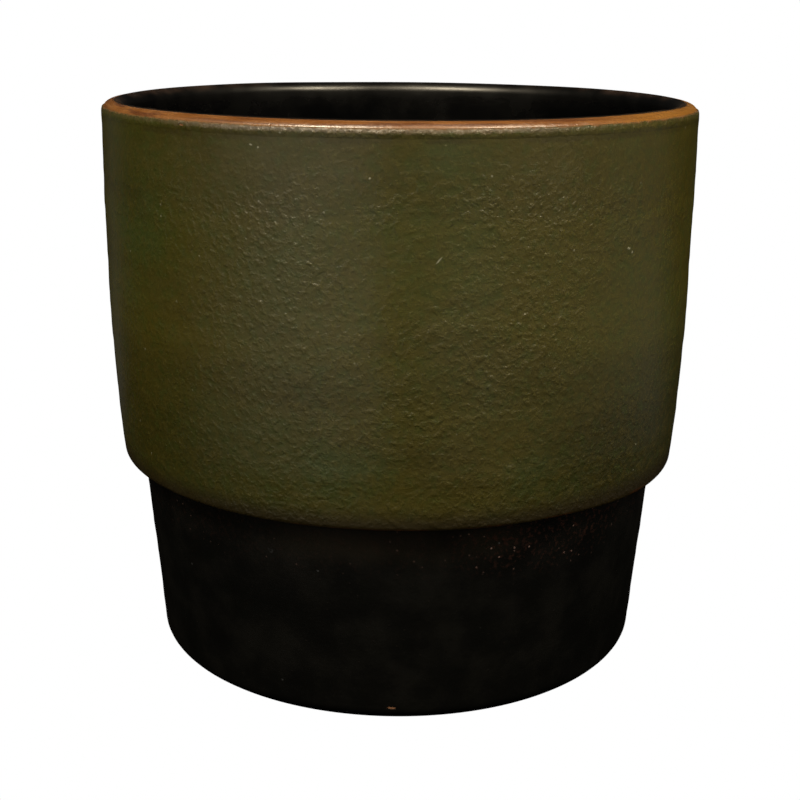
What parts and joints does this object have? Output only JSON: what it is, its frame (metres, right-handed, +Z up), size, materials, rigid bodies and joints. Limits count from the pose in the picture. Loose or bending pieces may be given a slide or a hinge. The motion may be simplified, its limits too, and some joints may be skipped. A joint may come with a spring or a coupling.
{
  "type": "glazed terracotta planter pot",
  "caption": "Round stepped planter pot: wide glazed drum on a narrower foot, open top, rounded lip, drain hole closed by a lift-out bung, flat underside on pads.",
  "frame": {"origin": "centre of the pads' underside, on the surface the pot stands on", "axes": "+Z up along the pot's axis, out of its open top"},
  "size_m": [0.32, 0.32, 0.3049],
  "materials": {
    "terracotta": "bare fired earthenware, matt",
    "green_glaze": "dark olive green glaze, satin",
    "black_glaze_matt": "black glaze, matt",
    "black_glaze_gloss": "black glaze, glossy",
    "black_rubber": "moulded rubber, matt",
    "pad_rubber": "stick-on rubber pad, matt"
  },
  "bodies": {
    "pot": {"clay_body": "terracotta", "drum_glaze": "green_glaze", "foot_glaze": "black_glaze_matt", "lining_glaze": "black_glaze_gloss", "foot_pad_1": "pad_rubber", "foot_pad_2": "pad_rubber", "foot_pad_3": "pad_rubber", "foot_pad_4": "pad_rubber"},
    "stopper": {"drain_stopper": "black_rubber"}
  },
  "joints": [
    {"name": "stopper_lift", "type": "slide", "parent": "pot", "child": "stopper", "axis": [0, 0, 1], "range_m": [0, 0.32]}
  ]
}
